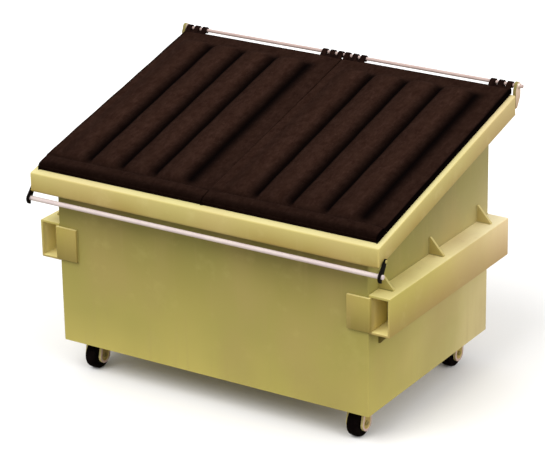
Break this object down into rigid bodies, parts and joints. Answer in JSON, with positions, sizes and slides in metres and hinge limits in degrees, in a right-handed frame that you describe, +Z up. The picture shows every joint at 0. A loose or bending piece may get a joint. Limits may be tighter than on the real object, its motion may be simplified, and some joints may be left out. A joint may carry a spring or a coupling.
{
  "type": "front-load refuse container",
  "caption": "Sloping steel refuse container with two hinged ribbed lids, side fork pockets, a front bar and swivel casters.",
  "frame": {"origin": "on the ground under the middle of the whole container, midway between its foremost and rearmost points", "axes": "+X to the right along the front, +Y from the front to the rear, +Z up"},
  "size_m": [2.085, 1.453, 1.5146],
  "materials": {
    "body_paint": "khaki yellow enamel, satin, slightly faded",
    "rim_paint": "khaki yellow enamel, satin, paler on the flat top",
    "pocket_paint": "khaki yellow enamel, satin, paler on the top face",
    "plate_paint": "khaki yellow enamel, satin",
    "gusset_paint": "khaki yellow enamel, satin",
    "ear_paint": "khaki yellow enamel, satin",
    "lug_paint": "khaki yellow enamel, satin",
    "collar_zinc": "zinc plated, dull",
    "rod_paint": "pale pinkish white, satin",
    "lid_plastic": "very dark brown polyethylene, scuffed",
    "arm_coating": "black, satin",
    "caster_zinc": "zinc plated, dull",
    "kingpin_zinc": "zinc plated, dull",
    "fork_paint": "pale buff with a pink cast, satin",
    "axle_zinc": "zinc plated, dull",
    "hub_plastic": "black moulded plastic",
    "tyre_rubber": "black rubber, matt"
  },
  "bodies": {
    "container": {"floor_pan": "body_paint", "front_wall": "body_paint", "rear_wall": "body_paint", "left_wall": "body_paint", "right_wall": "body_paint", "front_rim_rail": "rim_paint", "rear_rim_rail": "rim_paint", "left_rim_rail": "rim_paint", "right_rim_rail": "rim_paint", "left_fork_pocket": "pocket_paint", "left_guide_plate": "plate_paint", "left_front_gusset": "gusset_paint", "left_middle_gusset": "gusset_paint", "left_rear_gusset": "gusset_paint", "left_lower_gusset": "gusset_paint", "left_hinge_ear": "ear_paint", "left_bar_lug": "lug_paint", "right_fork_pocket": "pocket_paint", "right_guide_plate": "plate_paint", "right_front_gusset": "gusset_paint", "right_middle_gusset": "gusset_paint", "right_rear_gusset": "gusset_paint", "right_lower_gusset": "gusset_paint", "right_hinge_ear": "ear_paint", "right_bar_lug": "lug_paint", "hinge_rod": "rod_paint", "rod_collar": "collar_zinc", "front_left_caster_plate": "caster_zinc", "front_left_caster_kingpin": "kingpin_zinc", "front_right_caster_plate": "caster_zinc", "front_right_caster_kingpin": "kingpin_zinc", "rear_left_caster_plate": "caster_zinc", "rear_left_caster_kingpin": "kingpin_zinc", "rear_right_caster_plate": "caster_zinc", "rear_right_caster_kingpin": "kingpin_zinc"},
    "left_lid": {"left_lid": "lid_plastic"},
    "right_lid": {"right_lid": "lid_plastic"},
    "bar": {"front_bar": "rod_paint", "left_bar_arm": "arm_coating", "right_bar_arm": "arm_coating"},
    "front_left_swivel": {"front_left_caster_fork": "fork_paint", "front_left_caster_axle": "axle_zinc"},
    "front_left_wheel": {"front_left_caster_hub": "hub_plastic", "front_left_caster_tyre": "tyre_rubber"},
    "front_right_swivel": {"front_right_caster_fork": "fork_paint", "front_right_caster_axle": "axle_zinc"},
    "front_right_wheel": {"front_right_caster_hub": "hub_plastic", "front_right_caster_tyre": "tyre_rubber"},
    "rear_left_swivel": {"rear_left_caster_fork": "fork_paint", "rear_left_caster_axle": "axle_zinc"},
    "rear_left_wheel": {"rear_left_caster_hub": "hub_plastic", "rear_left_caster_tyre": "tyre_rubber"},
    "rear_right_swivel": {"rear_right_caster_fork": "fork_paint", "rear_right_caster_axle": "axle_zinc"},
    "rear_right_wheel": {"rear_right_caster_hub": "hub_plastic", "rear_right_caster_tyre": "tyre_rubber"}
  },
  "joints": [
    {"name": "left_lid_hinge", "type": "hinge", "parent": "container", "child": "left_lid", "pos_m": [-0.497, 0.7065, 1.49457], "axis": [-1, 0, 0], "range_deg": [0, 280]},
    {"name": "right_lid_hinge", "type": "hinge", "parent": "container", "child": "right_lid", "pos_m": [0.497, 0.7065, 1.49457], "axis": [-1, 0, 0], "range_deg": [0, 280]},
    {"name": "front_bar_swing", "type": "hinge", "parent": "container", "child": "bar", "pos_m": [0, -0.6585, 1.0311], "axis": [-1, 0, 0], "range_deg": [0, 95]},
    {"name": "front_left_swivel", "type": "hinge", "parent": "container", "child": "front_left_swivel", "pos_m": [-0.7905, -0.4845, 0.18], "axis": [0, 0, 1], "continuous": true},
    {"name": "front_left_roll", "type": "hinge", "parent": "front_left_swivel", "child": "front_left_wheel", "pos_m": [-0.7905, -0.5025, 0.076], "axis": [1, 0, 0], "continuous": true},
    {"name": "front_right_swivel", "type": "hinge", "parent": "container", "child": "front_right_swivel", "pos_m": [0.7905, -0.4845, 0.18], "axis": [0, 0, 1], "continuous": true},
    {"name": "front_right_roll", "type": "hinge", "parent": "front_right_swivel", "child": "front_right_wheel", "pos_m": [0.7905, -0.5025, 0.076], "axis": [1, 0, 0], "continuous": true},
    {"name": "rear_left_swivel", "type": "hinge", "parent": "container", "child": "rear_left_swivel", "pos_m": [-0.7905, 0.4625, 0.18], "axis": [0, 0, 1], "continuous": true},
    {"name": "rear_left_roll", "type": "hinge", "parent": "rear_left_swivel", "child": "rear_left_wheel", "pos_m": [-0.7905, 0.4445, 0.076], "axis": [1, 0, 0], "continuous": true},
    {"name": "rear_right_swivel", "type": "hinge", "parent": "container", "child": "rear_right_swivel", "pos_m": [0.7905, 0.4625, 0.18], "axis": [0, 0, 1], "continuous": true},
    {"name": "rear_right_roll", "type": "hinge", "parent": "rear_right_swivel", "child": "rear_right_wheel", "pos_m": [0.7905, 0.4445, 0.076], "axis": [1, 0, 0], "continuous": true}
  ]
}
